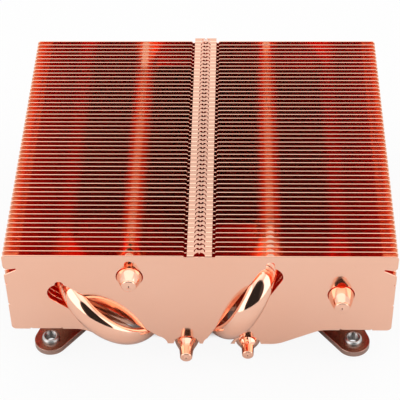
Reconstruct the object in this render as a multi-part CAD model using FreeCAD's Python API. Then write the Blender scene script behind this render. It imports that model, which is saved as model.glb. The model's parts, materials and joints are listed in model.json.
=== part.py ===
import FreeCAD, Part
import math
import os

# Passive copper heatsink for a server processor: a stack of thin fins, locked to each other by
# folded tabs, on four U-shaped heat pipes that lie in the base plate and return through the fins.
# Two steel brackets under the stack carry the four threaded standoffs that bolt it down.
#
# Frame, in millimetres: the origin is the middle of the contact face that meets the processor,
# +X runs across the fins, +Y from the front of the stack to its back, and +Z is up.

os.makedirs("parts", exist_ok=True)

# ---- Fins -------------------------------------------------------------------------------------
fin_count = 54
fin_thickness = 0.3
fin_pitch = 1.55
fin_width = 92.0
fin_centre_height = 30.5        # top edge down to the foot that stands on the base plate
fin_side_height = 25.3          # top edge down to the bottom edge of the two wings
fin_foot_margin = 4.0           # flat foot left outside the outermost pipe notch
fin_wing_length = 17.1          # flat bottom edge of each wing
fin_top_corner_radius = 0.8
fin_bottom_corner_radius = 1.0
fin_sweep_radius = 7.0          # the two arcs between wing and foot

# Notch for a fan clip, one in each side edge: it slants inwards and up.
clip_notch_drop = 4.7           # top edge down to the mouth's upper lip
clip_notch_mouth = 1.85
clip_notch_depth = 3.1
clip_notch_rise = 0.55
clip_notch_end_height = 0.75
clip_notch_end_radius = 0.3

# ---- Folded tabs that space the fins and lock each to the next ---------------------------------
tab_clearance = 0.02            # between a tab's tip and the fin behind it
centre_tab_width = 5.8
centre_tab_relief_width = 0.8
centre_tab_relief_depth = 0.6
lock_window_width = 2.7
lock_window_crown = 1.2         # flat end of the window
lock_window_bridge = 0.32       # metal left behind the window
side_tab_drop = 9.85            # top edge down to the upper end of the side tab
side_tab_height = 6.4
foot_tab_inset = 5.0            # side edge in to the outer end of the bottom tab
foot_tab_length = 6.9
edge_tab_nick = 0.4             # depth of the nicks beside the side and bottom tabs
edge_tab_nick_width = 0.5

# ---- Heat pipes -------------------------------------------------------------------------------
pipe_diameter = 6.0
pipe_hole_clearance = 0.2       # all round, filled by solder
pipe_slot_clearance = 0.1       # all round, in the fins that a bend passes through
pipe_bend_thickness = 3.3       # bending flattens the pipe
pipe_bend_width = 5.9
pipe_shoulder_length = 2.6      # spun down from the full diameter to the nub
pipe_nub_diameter = 3.3
pipe_nub_length = 1.0
outer_bend_overhang = 4.9       # how far a bend stands out of the stack
inner_bend_overhang = 4.4
outer_upper_tip_overhang = 4.9  # how far a sealed tip stands out of the stack
outer_lower_tip_overhang = 3.8
inner_upper_tip_overhang = 3.3
inner_lower_tip_overhang = 4.7
inner_upper_leg_x = 16.5
inner_upper_leg_drop = 6.9      # fin's top edge down to the leg's axis
outer_upper_leg_x = 33.3
outer_upper_leg_drop = 12.7
inner_lower_leg_gap = 1.2       # between the two middle legs in the base plate
outer_lower_leg_gap = 1.8       # between a middle leg and the outer one beside it
lower_leg_sink = 0.3            # the axis lies this far under the base plate's top
bend_sections = 8               # ruled steps round a bend

# ---- Base plate -------------------------------------------------------------------------------
base_floor = 2.7                # metal between the lower legs and the contact face
base_length = 42.0
base_corner_chamfer = 1.0
contact_side_wall = 1.6         # contact pad left outside the outermost lower leg
flange_width = 6.0              # reaches out over each bracket
flange_thickness = 2.5
groove_clearance = 0.1

# ---- Brackets, soldered under the flanges, with their pressed-in standoffs --------------------
bracket_thickness = 1.6
bracket_pad_clearance = 0.3     # from the contact pad's flank
bracket_root_radius = 2.0
bracket_waist_radius = 25.0     # hollow between the two arms of a bracket
arm_tip_radius = 4.1
arm_inner_angle = 52.0          # slope of an arm's inner edge, in degrees from X
arm_outer_angle = 70.0
bolt_spacing = 75.0             # square pattern of the four standoffs
standoff_diameter = 4.3
standoff_rise = 1.2             # above the arm; its lower end is flush
standoff_chamfer = 0.45
standoff_bore = 2.5             # for an M3 thread

# ---- Places that follow from the sizes above ----------------------------------------------------
pipe_radius = pipe_diameter / 2
pipe_hole_radius = pipe_radius + pipe_hole_clearance
pipe_slot_radius = pipe_radius + pipe_slot_clearance
stack_depth = (fin_count - 1) * fin_pitch + fin_thickness
front_face_y = -stack_depth / 2
lower_leg_z = base_floor + pipe_radius
base_thickness = lower_leg_z + lower_leg_sink
fin_top_z = base_thickness + fin_centre_height
inner_lower_leg_x = pipe_radius + inner_lower_leg_gap / 2
outer_lower_leg_x = inner_lower_leg_x + pipe_diameter + outer_lower_leg_gap
fin_foot_x = outer_lower_leg_x + pipe_hole_radius + fin_foot_margin
contact_width = 2 * (outer_lower_leg_x + pipe_radius + contact_side_wall)
base_width = contact_width + 2 * flange_width
inner_upper_leg_z = fin_top_z - inner_upper_leg_drop
outer_upper_leg_z = fin_top_z - outer_upper_leg_drop
bracket_top_z = base_thickness - flange_thickness
bracket_bottom_z = bracket_top_z - bracket_thickness

# The two pipes that bend at the front, with their legs as (x, z).
# Turned half a turn about Z they are the two that bend at the back.
outer_pipe = {
    "upper": (-outer_upper_leg_x, outer_upper_leg_z),
    "lower": (-outer_lower_leg_x, lower_leg_z),
    "bend_overhang": outer_bend_overhang,
    "upper_tip_overhang": outer_upper_tip_overhang,
    "lower_tip_overhang": outer_lower_tip_overhang,
}
inner_pipe = {
    "upper": (inner_upper_leg_x, inner_upper_leg_z),
    "lower": (inner_lower_leg_x, lower_leg_z),
    "bend_overhang": inner_bend_overhang,
    "upper_tip_overhang": inner_upper_tip_overhang,
    "lower_tip_overhang": inner_lower_tip_overhang,
}


# ---- Helpers ------------------------------------------------------------------------------------
def point(x, z, y=0.0):
    """A place given as it is drawn from the front: across, up, and then how far back."""
    return FreeCAD.Vector(x, y, z)


def rounded_wire(corners):
    """A closed outline in the XZ plane from (x, z, radius) corners, each rounded by a true arc."""
    edges = []
    starts = []
    ends = []
    for index, (x, z, radius) in enumerate(corners):
        here = point(x, z)
        before = point(*corners[index - 1][:2]) - here
        after = point(*corners[(index + 1) % len(corners)][:2]) - here
        before.normalize()
        after.normalize()
        half_angle = before.getAngle(after) / 2
        reach = radius / math.tan(half_angle)
        starts.append(here + before * reach)
        ends.append(here + after * reach)
        if radius > 0:
            middle = before + after
            middle.normalize()
            crown = here + middle * (radius / math.sin(half_angle) - radius)
            edges.append(Part.Arc(starts[-1], crown, ends[-1]).toShape())
    for index in range(len(corners)):
        edges.append(Part.LineSegment(ends[index - 1], starts[index]).toShape())
    return Part.Wire(Part.__sortEdges__(edges))


def plate(wire, thickness):
    """A sheet whose front face is the given outline and which reaches back along Y."""
    return Part.Face(wire).extrude(FreeCAD.Vector(0, thickness, 0))


def box(x_range, y_range, z_range):
    """A block between two values along each axis."""
    size = [high - low for low, high in (x_range, y_range, z_range)]
    return Part.makeBox(*size, FreeCAD.Vector(x_range[0], y_range[0], z_range[0]))


def both_sides(shape):
    """The shape and its mirror image across the middle plane X = 0."""
    return [shape, shape.mirror(FreeCAD.Vector(0, 0, 0), FreeCAD.Vector(1, 0, 0))]


def half_turn(shape):
    """The shape turned by half a turn about the vertical axis."""
    turned = shape.copy()
    turned.rotate(FreeCAD.Vector(0, 0, 0), FreeCAD.Vector(0, 0, 1), 180)
    return turned


# ---- Heat pipes ---------------------------------------------------------------------------------
def bend_start_y(pipe):
    """Where the straight legs of a front-bending pipe meet its half-round bend."""
    bend_radius = point(*pipe["upper"]).distanceToPoint(point(*pipe["lower"])) / 2
    return front_face_y - pipe["bend_overhang"] + pipe_bend_thickness / 2 + bend_radius


def oval(centre, across, outward):
    """A flattened pipe's outline: two half rounds joined by two flat sides."""
    half_thickness = pipe_bend_thickness / 2
    half_width = pipe_bend_width / 2
    offset = half_width - half_thickness
    corners = [
        centre + across * (side * offset) + outward * (end * half_thickness)
        for side, end in ((1, -1), (1, 1), (-1, 1), (-1, -1))
    ]
    edges = [
        Part.Arc(corners[0], centre + across * half_width, corners[1]),
        Part.LineSegment(corners[1], corners[2]),
        Part.Arc(corners[2], centre - across * half_width, corners[3]),
        Part.LineSegment(corners[3], corners[0]),
    ]
    return Part.Wire([edge.toShape() for edge in edges])


def pipe_bend(pipe):
    """The half-round bend, ruled between flattened sections that turn from one leg to the other."""
    start_y = bend_start_y(pipe)
    upper, lower = (point(*pipe[leg], start_y) for leg in ("upper", "lower"))
    centre = (upper + lower) / 2
    outward = upper - centre
    outward.normalize()
    axis = outward.cross(FreeCAD.Vector(0, -1, 0))
    sections = []
    for step in range(bend_sections + 1):
        section = oval(upper, axis, outward)
        section.rotate(centre, axis, 180 * step / bend_sections)
        sections.append(section)
    return Part.makeLoft(sections, True, True)


def pipe_leg(place, tip_overhang, start_y):
    """A straight leg with its end spun down to a shoulder and a small sealed nub."""
    end_y = -front_face_y + tip_overhang
    nub_radius = pipe_nub_diameter / 2
    throat_y = end_y - pipe_nub_length
    profile = [
        (0, start_y),
        (pipe_radius, start_y),
        (pipe_radius, throat_y - pipe_shoulder_length),
        (nub_radius, throat_y),
        (nub_radius, end_y),
        (0, end_y),
    ]
    corners = [FreeCAD.Vector(radius, y, 0) for radius, y in profile]
    face = Part.Face(Part.makePolygon(corners + corners[:1]))
    leg = face.revolve(FreeCAD.Vector(0, 0, 0), FreeCAD.Vector(0, 1, 0), 360)
    leg.translate(point(*place))
    return leg


def heat_pipe(pipe):
    """One sealed pipe: a bend at the front and two legs that run back through the stack."""
    start_y = bend_start_y(pipe)
    upper_leg = pipe_leg(pipe["upper"], pipe["upper_tip_overhang"], start_y)
    lower_leg = pipe_leg(pipe["lower"], pipe["lower_tip_overhang"], start_y)
    return pipe_bend(pipe).fuse([upper_leg, lower_leg]).removeSplitter()


# ---- Fins ---------------------------------------------------------------------------------------
def fin_outline(rounded):
    """The fin's outline; the fins between the end fins have sharp corners and plainer notches."""
    half_width = fin_width / 2
    wing_z = fin_top_z - fin_side_height
    mouth_top = fin_top_z - clip_notch_drop
    mouth_bottom = mouth_top - clip_notch_mouth
    notch_x = half_width - clip_notch_depth
    notch_top = mouth_top + clip_notch_rise
    tab_x = centre_tab_width / 2
    relief_x = tab_x + centre_tab_relief_width
    tab_under_z = fin_top_z - fin_thickness
    if rounded:
        relief_z = fin_top_z - centre_tab_relief_depth
        notch_bottom = notch_top - clip_notch_end_height
        relief = [(tab_x, tab_under_z, 0), (tab_x, relief_z, 0), (relief_x, relief_z, 0)]
        notch_end = [(notch_x, z, clip_notch_end_radius) for z in (notch_top, notch_bottom)]
        radii = (fin_top_corner_radius, clip_notch_mouth / 2, fin_bottom_corner_radius, fin_sweep_radius)
    else:
        relief = [(relief_x, tab_under_z, 0)]
        notch_end = [(notch_x, notch_top - clip_notch_end_height / 2, 0)]
        radii = (0, 0, 0, 0)
    top_radius, lip_radius, bottom_radius, sweep_radius = radii
    half = [
        *relief,
        (relief_x, fin_top_z, 0),
        (half_width, fin_top_z, top_radius),
        (half_width, mouth_top, lip_radius),
        *notch_end,
        (half_width, mouth_bottom, 0),
        (half_width, wing_z, bottom_radius),
        (half_width - fin_wing_length, wing_z, sweep_radius),
        (fin_foot_x, base_thickness, sweep_radius),
    ]
    mirrored = [(-x, z, radius) for x, z, radius in reversed(half)]
    return rounded_wire(half + mirrored)


def round_opening(top, foot):
    """A round hole, or a slot with round ends where top and foot differ."""
    if top == foot:
        return Part.Wire(Part.makeCircle(pipe_hole_radius, point(*top), FreeCAD.Vector(0, 1, 0)))
    start, end, along, across = opening_frame(top, foot)
    edges = [
        Part.Arc(start - across, start - along, start + across),
        Part.LineSegment(start + across, end + across),
        Part.Arc(end + across, end + along, end - across),
        Part.LineSegment(end - across, start - across),
    ]
    return Part.Wire([edge.toShape() for edge in edges])


def flat_opening(top, foot):
    """The same opening with four straight sides, for the fins that the end fins hide."""
    start, end, along, across = opening_frame(top, foot)
    corners = [start - along - across, start - along + across, end + along + across, end + along - across]
    return Part.makePolygon(corners + corners[:1])


def opening_frame(top, foot):
    """The two ends of an opening, and its half width as a vector along it and one across it."""
    start = point(*top)
    end = point(*foot)
    along = end - start if top != foot else point(0, -1)
    along.normalize()
    along = along * (pipe_hole_radius if top == foot else pipe_slot_radius)
    return start, end, along, FreeCAD.Vector(along.z, 0, -along.x)


def round_foot_notches():
    """Half-round notches in a fin's foot, one over each lower leg."""
    places = [side * x for x in (inner_lower_leg_x, outer_lower_leg_x) for side in (-1, 1)]
    return [round_opening((x, lower_leg_z), (x, lower_leg_z)) for x in places]


def flat_foot_notch():
    """One straight-sided gap in a fin's foot over all four lower legs."""
    reach = outer_lower_leg_x + pipe_hole_radius
    crown_z = lower_leg_z + pipe_hole_radius
    corners = [point(-reach, 0), point(-reach, crown_z), point(reach, crown_z), point(reach, 0)]
    return [Part.makePolygon(corners + corners[:1])]


def centre_tab(rounded):
    """The folded tab in the middle of the top edge, with the window that takes its neighbour."""
    half_width = centre_tab_width / 2
    half_window = lock_window_width / 2
    tip_y = fin_pitch - tab_clearance
    window_y = tip_y - lock_window_bridge
    z = fin_top_z
    left = point(-half_window, z)
    right = point(half_window, z)
    if rounded:
        window = [Part.Arc(left, point(0, z, window_y), right).toShape()]
    else:
        crown = lock_window_crown / 2
        turns = [left, point(-crown, z, window_y), point(crown, z, window_y), right]
        window = [Part.LineSegment(turns[i], turns[i + 1]).toShape() for i in range(3)]
    rim = [right, point(half_width, z), point(half_width, z, tip_y), point(-half_width, z, tip_y)]
    rim += [point(-half_width, z), left]
    window += [Part.LineSegment(rim[i], rim[i + 1]).toShape() for i in range(5)]
    return Part.Face(Part.Wire(window)).extrude(point(0, -fin_thickness))


def edge_tabs(with_foot_tabs):
    """The plain folded tabs on both side edges and on both wings' bottom edges."""
    half_width = fin_width / 2
    tab_y = (0, fin_pitch - tab_clearance)
    side_top = fin_top_z - side_tab_drop
    wing_z = fin_top_z - fin_side_height
    foot_tab_end = half_width - foot_tab_inset
    side = box((half_width - fin_thickness, half_width), tab_y, (side_top - side_tab_height, side_top))
    foot = box((foot_tab_end - foot_tab_length, foot_tab_end), tab_y, (wing_z, wing_z + fin_thickness))
    return both_sides(side) + (both_sides(foot) if with_foot_tabs else [])


def edge_nicks():
    """Cutters for the relief nicks beside each side and bottom tab."""
    half_width = fin_width / 2
    through = (-fin_thickness, 2 * fin_pitch)
    side_top = fin_top_z - side_tab_drop
    wing_z = fin_top_z - fin_side_height
    foot_tab_end = half_width - foot_tab_inset
    nicks = []
    for z in (side_top, side_top - side_tab_height - edge_tab_nick_width):
        x_range = (half_width - edge_tab_nick, half_width)
        nicks += both_sides(box(x_range, through, (z, z + edge_tab_nick_width)))
    for x in (foot_tab_end, foot_tab_end - foot_tab_length - edge_tab_nick_width):
        z_range = (wing_z, wing_z + edge_tab_nick)
        nicks += both_sides(box((x, x + edge_tab_nick_width), through, z_range))
    return nicks


def fin(openings, rounded):
    """One fin with its front face at Y = 0."""
    if rounded:
        cut_wires = [round_opening(*ends) for ends in openings] + round_foot_notches()
    else:
        cut_wires = [flat_opening(*ends) for ends in openings] + flat_foot_notch()
    blank = plate(fin_outline(rounded), fin_thickness)
    blank = blank.cut([plate(wire, fin_thickness) for wire in cut_wires])
    blank = blank.fuse([centre_tab(rounded)] + edge_tabs(rounded))
    if rounded:
        blank = blank.cut(edge_nicks())
    return blank.removeSplitter()


def fin_openings(front_y):
    """The (top, foot) ends of every pipe opening of the fin whose front face is at front_y."""
    openings = []
    for pipe in (outer_pipe, inner_pipe):
        upper, lower = pipe["upper"], pipe["lower"]
        bend_y = bend_start_y(pipe)
        in_front_bend = front_y < bend_y
        in_rear_bend = front_y + fin_thickness > -bend_y
        openings.append((upper, lower if in_front_bend else upper))
        turned_upper, turned_lower = ((-x, z) for x, z in (upper, lower))
        openings.append((turned_upper, turned_lower if in_rear_bend else turned_upper))
    return tuple(openings)


def fins():
    """All fins in their places, as {node name: solid}; like fins are shaped once and copied."""
    shaped = {}
    placed = {}
    for index in range(fin_count):
        front_y = front_face_y + index * fin_pitch
        is_end_fin = index in (0, fin_count - 1)
        kind = (fin_openings(front_y), is_end_fin)
        if kind not in shaped:
            shaped[kind] = fin(*kind)
        placed[f"fin_{index + 1:02d}"] = shaped[kind].translated(FreeCAD.Vector(0, front_y, 0))
    return placed


# ---- Base plate ---------------------------------------------------------------------------------
def is_outer_upright(edge):
    """True for the four upright edges at the flanges' outer corners."""
    bounds = edge.BoundBox
    outermost = max(abs(bounds.XMin), abs(bounds.XMax))
    return math.isclose(outermost, base_width / 2) and math.isclose(bounds.ZLength, flange_thickness)


def base_plate():
    """The copper plate: a contact pad between two thinner flanges, grooved for the lower legs."""
    half_width = base_width / 2
    half_pad = contact_width / 2
    profile = [
        point(half_pad, 0),
        point(half_pad, bracket_top_z),
        point(half_width, bracket_top_z),
        point(half_width, base_thickness),
    ]
    profile += [point(-corner.x, corner.z) for corner in reversed(profile)]
    slab = plate(Part.makePolygon(profile + profile[:1]), base_length)
    slab.translate(FreeCAD.Vector(0, -base_length / 2, 0))
    corners = [edge for edge in slab.Edges if is_outer_upright(edge)]
    slab = slab.makeChamfer(base_corner_chamfer, corners)
    along = FreeCAD.Vector(0, 1, 0)
    cutters = []
    for x in (inner_lower_leg_x, outer_lower_leg_x):
        for side in (-x, x):
            start = point(side, lower_leg_z, -base_length)
            cutters.append(Part.makeCylinder(pipe_radius + groove_clearance, 2 * base_length, start, along))
    return slab.cut(cutters)


# ---- Brackets -----------------------------------------------------------------------------------
def bracket_outline():
    """The right bracket's outline: two arms that spread from the base plate's flank."""
    middle_angle = math.radians((arm_inner_angle + arm_outer_angle) / 2)
    half_spread = math.radians((arm_outer_angle - arm_inner_angle) / 2)
    inner_slope = math.tan(math.radians(arm_inner_angle))
    outer_slope = math.tan(math.radians(arm_outer_angle))
    apex_reach = arm_tip_radius / math.sin(half_spread)
    apex_x = bolt_spacing / 2 + apex_reach * math.cos(middle_angle)
    apex_y = bolt_spacing / 2 + apex_reach * math.sin(middle_angle)
    root_x = contact_width / 2 + bracket_pad_clearance
    root_y = apex_y - (apex_x - root_x) * inner_slope
    waist_x = apex_x - apex_y / outer_slope
    corners = [
        (root_x, -root_y, bracket_root_radius),
        (apex_x, -apex_y, arm_tip_radius),
        (waist_x, 0, bracket_waist_radius),
        (apex_x, apex_y, arm_tip_radius),
        (root_x, root_y, bracket_root_radius),
    ]
    wire = rounded_wire(corners)
    wire.rotate(FreeCAD.Vector(0, 0, 0), FreeCAD.Vector(1, 0, 0), -90)
    wire.translate(FreeCAD.Vector(0, 0, bracket_bottom_z))
    return wire


def turned_post(profile, x, y):
    """A round part about a vertical axis at (x, y) from its (radius, z) half profile."""
    corners = [point(radius, z) for radius, z in profile]
    face = Part.Face(Part.makePolygon(corners + corners[:1]))
    post = face.revolve(FreeCAD.Vector(0, 0, 0), FreeCAD.Vector(0, 0, 1), 360)
    post.translate(FreeCAD.Vector(x, y, 0))
    return post


def standoff(x, y):
    """A threaded standoff pressed into the tip of an arm; its bore stays open."""
    bore = standoff_bore / 2
    outside = standoff_diameter / 2
    high = bracket_top_z + standoff_rise
    profile = [
        (bore, bracket_bottom_z),
        (outside, bracket_bottom_z),
        (outside, high - standoff_chamfer),
        (outside - standoff_chamfer, high),
        (bore, high),
    ]
    return turned_post(profile, x, y)


def right_bracket():
    """One steel bracket with a standoff pressed into the tip of each arm."""
    sheet = Part.Face(bracket_outline()).extrude(FreeCAD.Vector(0, 0, bracket_thickness))
    bolts = [(bolt_spacing / 2, end * bolt_spacing / 2) for end in (-1, 1)]
    seats = [
        Part.makeCylinder(standoff_diameter / 2, bracket_thickness, FreeCAD.Vector(x, y, bracket_bottom_z))
        for x, y in bolts
    ]
    return sheet.cut(seats).fuse([standoff(x, y) for x, y in bolts]).removeSplitter()


# ---- Export -------------------------------------------------------------------------------------
front_outer_pipe = heat_pipe(outer_pipe)
front_inner_pipe = heat_pipe(inner_pipe)
bracket = right_bracket()
nodes = {
    "heat_pipe_front_outer": front_outer_pipe,
    "heat_pipe_front_inner": front_inner_pipe,
    "heat_pipe_rear_inner": half_turn(front_inner_pipe),
    "heat_pipe_rear_outer": half_turn(front_outer_pipe),
    "base_plate": base_plate(),
    "mounting_brackets": Part.makeCompound([bracket, half_turn(bracket)]),
    **fins(),
}
for name, shape in nodes.items():
    shape.exportStep(f"parts/{name}.step")
    print(name, len(shape.Solids), round(shape.Volume, 1))
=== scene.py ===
# %% [markdown]
# # A passive copper heatsink, dressed piece by piece
# The object is a stack of thin copper fins on four heat pipes, for a server processor. Its solids
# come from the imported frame. Here each one gets the folds, rounded edges and finish of the real
# piece. Sizes are in millimetres until a mesh is made, because that is how the drawing gives them.

# %% Load the frame
import json
import math

import bpy
import numpy as np
from mathutils import Matrix, Vector
from mathutils.geometry import delaunay_2d_cdt

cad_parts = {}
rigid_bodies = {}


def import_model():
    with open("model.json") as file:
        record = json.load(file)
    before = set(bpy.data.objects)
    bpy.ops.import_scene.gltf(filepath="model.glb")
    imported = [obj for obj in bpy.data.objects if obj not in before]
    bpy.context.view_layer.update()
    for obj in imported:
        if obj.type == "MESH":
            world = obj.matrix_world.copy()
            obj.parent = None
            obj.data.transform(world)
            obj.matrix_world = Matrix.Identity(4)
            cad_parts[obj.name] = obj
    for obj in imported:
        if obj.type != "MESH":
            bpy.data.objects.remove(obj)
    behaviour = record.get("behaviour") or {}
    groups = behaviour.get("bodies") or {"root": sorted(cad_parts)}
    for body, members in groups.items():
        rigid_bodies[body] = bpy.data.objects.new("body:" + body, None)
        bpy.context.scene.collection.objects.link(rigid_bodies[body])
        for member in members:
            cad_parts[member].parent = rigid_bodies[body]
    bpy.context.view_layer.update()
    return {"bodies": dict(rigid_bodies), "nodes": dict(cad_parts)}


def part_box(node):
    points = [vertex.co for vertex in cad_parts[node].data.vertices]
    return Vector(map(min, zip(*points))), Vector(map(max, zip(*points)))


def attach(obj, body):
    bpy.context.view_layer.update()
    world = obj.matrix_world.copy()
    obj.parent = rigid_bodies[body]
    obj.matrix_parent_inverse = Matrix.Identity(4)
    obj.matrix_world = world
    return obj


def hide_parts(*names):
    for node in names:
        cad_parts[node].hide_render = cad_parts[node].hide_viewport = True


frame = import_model()
body = next(iter(frame["bodies"]))
MM = 0.001
print("body", body, "with", len(frame["nodes"]), "nodes")


def box_mm(node):
    """The lowest and highest corner of a frame node, in millimetres."""
    low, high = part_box(node)
    return np.array(low) / MM, np.array(high) / MM


# %% [markdown]
# ## The camera
# The stack is seen from the front and above, through a long lens, so its sides run almost
# parallel. A camera can be given angles, or three directions: right, up and back. The directions
# are used here, because they show what each of the three angles does.

# %% Camera
camera_place = np.array([8.83, -271.74, 270.6])
camera_down = math.radians(43.15)       # below level
camera_aside = math.radians(2.08)       # turned to the left
camera_tilt = math.radians(-1.25)       # rolled about its own axis

sight = np.array([
    -math.sin(camera_aside) * math.cos(camera_down),
    math.cos(camera_aside) * math.cos(camera_down),
    -math.sin(camera_down),
])
level_right = np.array([math.cos(camera_aside), math.sin(camera_aside), 0.0])
level_up = np.cross(level_right, sight)
right = level_right * math.cos(camera_tilt) + level_up * math.sin(camera_tilt)
up = level_up * math.cos(camera_tilt) - level_right * math.sin(camera_tilt)

camera = bpy.data.objects.new("camera", bpy.data.cameras.new("camera"))
bpy.context.scene.collection.objects.link(camera)
turn = Matrix(np.stack([right, up, -sight], axis=1).tolist()).to_4x4()
camera.matrix_world = Matrix.Translation(Vector(camera_place * MM)) @ turn
camera.data.lens = 128.2
camera.data.sensor_width = 36.0
camera.data.clip_start = 0.01
bpy.context.scene.camera = camera
print("camera at", np.round(camera_place), "mm")


# %% [markdown]
# ## Shared surface effects
# Rolled copper strip is never one even colour: the rolls leave faint lines along it, and the tone
# drifts a little. These effects are wanted on several metals, so each is a node group, built once
# and placed in each material with its own numbers.

# %% Node helpers
def new_group(name, inputs, outputs):
    """An empty shader node group with inputs and outputs given as {name: kind of socket}."""
    group = bpy.data.node_groups.new(name, "ShaderNodeTree")
    for way, sockets in (("INPUT", inputs), ("OUTPUT", outputs)):
        for label, kind in sockets.items():
            group.interface.new_socket(label, in_out=way, socket_type="NodeSocket" + kind)
    start = group.nodes.new("NodeGroupInput")
    end = group.nodes.new("NodeGroupOutput")
    return group, start, end


def add_node(tree, kind, settings=None, **sockets):
    """A node with its settings, and its input sockets set to values or linked from other sockets.

    A socket goes by its label, or by its place among the inputs as i0, i1 and so on."""
    node = tree.nodes.new(kind)
    for key, value in (settings or {}).items():
        setattr(node, key, value)
    for key, value in sockets.items():
        by_place = key[0] == "i" and key[1:].isdigit()
        socket = node.inputs[int(key[1:])] if by_place else node.inputs[key]
        if isinstance(value, bpy.types.NodeSocket):
            tree.links.new(value, socket)
        else:
            socket.default_value = value
    return node


def math_node(tree, operation, first, second=0.0, third=0.0):
    """One Math node's result."""
    node = add_node(tree, "ShaderNodeMath", {"operation": operation}, i0=first, i1=second, i2=third)
    return node.outputs[0]


def soft_step(tree, value, low, high):
    """A mask that goes smoothly from 0 at the value low to 1 at the value high."""
    return add_node(tree, "ShaderNodeMapRange", {"interpolation_type": "SMOOTHSTEP"}, Value=value,
                    **{"From Min": low, "From Max": high}).outputs[0]


def empty_material(name):
    """A material without nodes, and the node tree that will hold them."""
    material = bpy.data.materials.new(name)
    material.use_nodes = True
    material.node_tree.nodes.clear()
    return material, material.node_tree


print("node helpers ready")


# %% Group: rolling lines
def build_rolling_lines():
    """Noise squeezed along one direction by Stretch, so its grains are drawn out to lines."""
    group, start, end = new_group(
        "rolling_lines", {"Vector": "Vector", "Lines per metre": "Float", "Stretch": "Vector"},
        {"Lines": "Float"})
    scaled = add_node(group, "ShaderNodeVectorMath", {"operation": "MULTIPLY"},
                      i0=start.outputs["Vector"], i1=start.outputs["Stretch"])
    noise = add_node(group, "ShaderNodeTexNoise", Vector=scaled.outputs[0],
                     Scale=start.outputs["Lines per metre"], Detail=2.0, Roughness=0.6)
    group.links.new(noise.outputs["Fac"], end.inputs["Lines"])
    return group


rolling_lines = build_rolling_lines()
print("group", rolling_lines.name)


# %% Group: slow drift of tone
drift_low, drift_high = 0.35, 0.7       # the part of the noise that runs from fresh to aged


def build_tone_drift():
    """Fresh goes over to Aged by Amount * the noise between drift_low and drift_high."""
    group, start, end = new_group(
        "tone_drift", {"Vector": "Vector", "Fresh": "Color", "Aged": "Color",
                       "Patches per metre": "Float", "Amount": "Float"}, {"Color": "Color"})
    noise = add_node(group, "ShaderNodeTexNoise", Vector=start.outputs["Vector"],
                     Scale=start.outputs["Patches per metre"], Detail=4.0, Roughness=0.55)
    spread = add_node(group, "ShaderNodeMapRange", Value=noise.outputs["Fac"],
                      **{"From Min": drift_low, "From Max": drift_high})
    share = math_node(group, "MULTIPLY", spread.outputs[0], start.outputs["Amount"])
    # a Mix node has sockets for every kind of data: for colours, 6 and 7 go in and 2 comes out
    mix = add_node(group, "ShaderNodeMix", {"data_type": "RGBA"}, Factor=share,
                   i6=start.outputs["Fresh"], i7=start.outputs["Aged"])
    group.links.new(mix.outputs[2], end.inputs["Color"])
    return group


tone_drift = build_tone_drift()
print("group", tone_drift.name)


# %% [markdown]
# ## Metals
# Copper gets its deep red between the fins from light that bounces many times, and each bounce
# takes more green and blue away. So the base colour is plain copper, and the red is left to the
# light paths. That needs more glossy bounces than the usual four. A pipe is bright where it stands
# out of the stack, and scored dull along its legs, where 54 fins were pressed over it.

# %% Metal finishes
bounces_between_fins = 48
bpy.context.scene.cycles.max_bounces = bounces_between_fins
bpy.context.scene.cycles.glossy_bounces = bounces_between_fins
line_strength = 0.2
dull_border = 0.002     # metres over which a pipe goes from dull to bright


def metal(name, fresh, aged, patches, drift, roughness, rough_spread, lines, stretch, line_height):
    """A bare metal: drifting tone, rolling or tool lines in its roughness and as a fine relief.

    Patches and lines are counted per metre, the line height is in millimetres, and across the lines
    the roughness goes rough_spread up and down."""
    material, tree = empty_material(name)
    place = tree.nodes.new("ShaderNodeTexCoord").outputs["Object"]
    tone = add_node(tree, "ShaderNodeGroup", {"node_tree": tone_drift}, Vector=place,
                    Fresh=(*fresh, 1.0), Aged=(*aged, 1.0), Amount=drift,
                    **{"Patches per metre": patches})
    grain = add_node(tree, "ShaderNodeGroup", {"node_tree": rolling_lines}, Vector=place,
                     Stretch=stretch, **{"Lines per metre": lines})
    rough = add_node(tree, "ShaderNodeMapRange", Value=grain.outputs["Lines"],
                     **{"To Min": roughness - rough_spread, "To Max": roughness + rough_spread})
    bump = add_node(tree, "ShaderNodeBump", Height=grain.outputs["Lines"],
                    Strength=line_strength, Distance=line_height * MM)
    shader = add_node(tree, "ShaderNodeBsdfPrincipled", {"name": "metal"}, Metallic=1.0,
                      Roughness=rough.outputs[0], Normal=bump.outputs[0],
                      **{"Base Color": tone.outputs["Color"]})
    add_node(tree, "ShaderNodeOutputMaterial", Surface=shader.outputs[0])
    return material


def dull_between(material, reach, roughness):
    """Raises the roughness of places less than reach (metres) from the middle, along Y."""
    tree = material.node_tree
    shader = tree.nodes["metal"]
    bare = shader.inputs["Roughness"].links[0].from_socket
    place = tree.nodes.new("ShaderNodeTexCoord").outputs["Object"]
    along = add_node(tree, "ShaderNodeSeparateXYZ", Vector=place).outputs["Y"]
    far = math_node(tree, "ABSOLUTE", along)
    mask = soft_step(tree, far, reach, reach - dull_border)
    mix = add_node(tree, "ShaderNodeMix", {"data_type": "FLOAT"}, Factor=mask, A=bare, B=roughness)
    tree.links.new(mix.outputs[0], shader.inputs["Roughness"])


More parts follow.
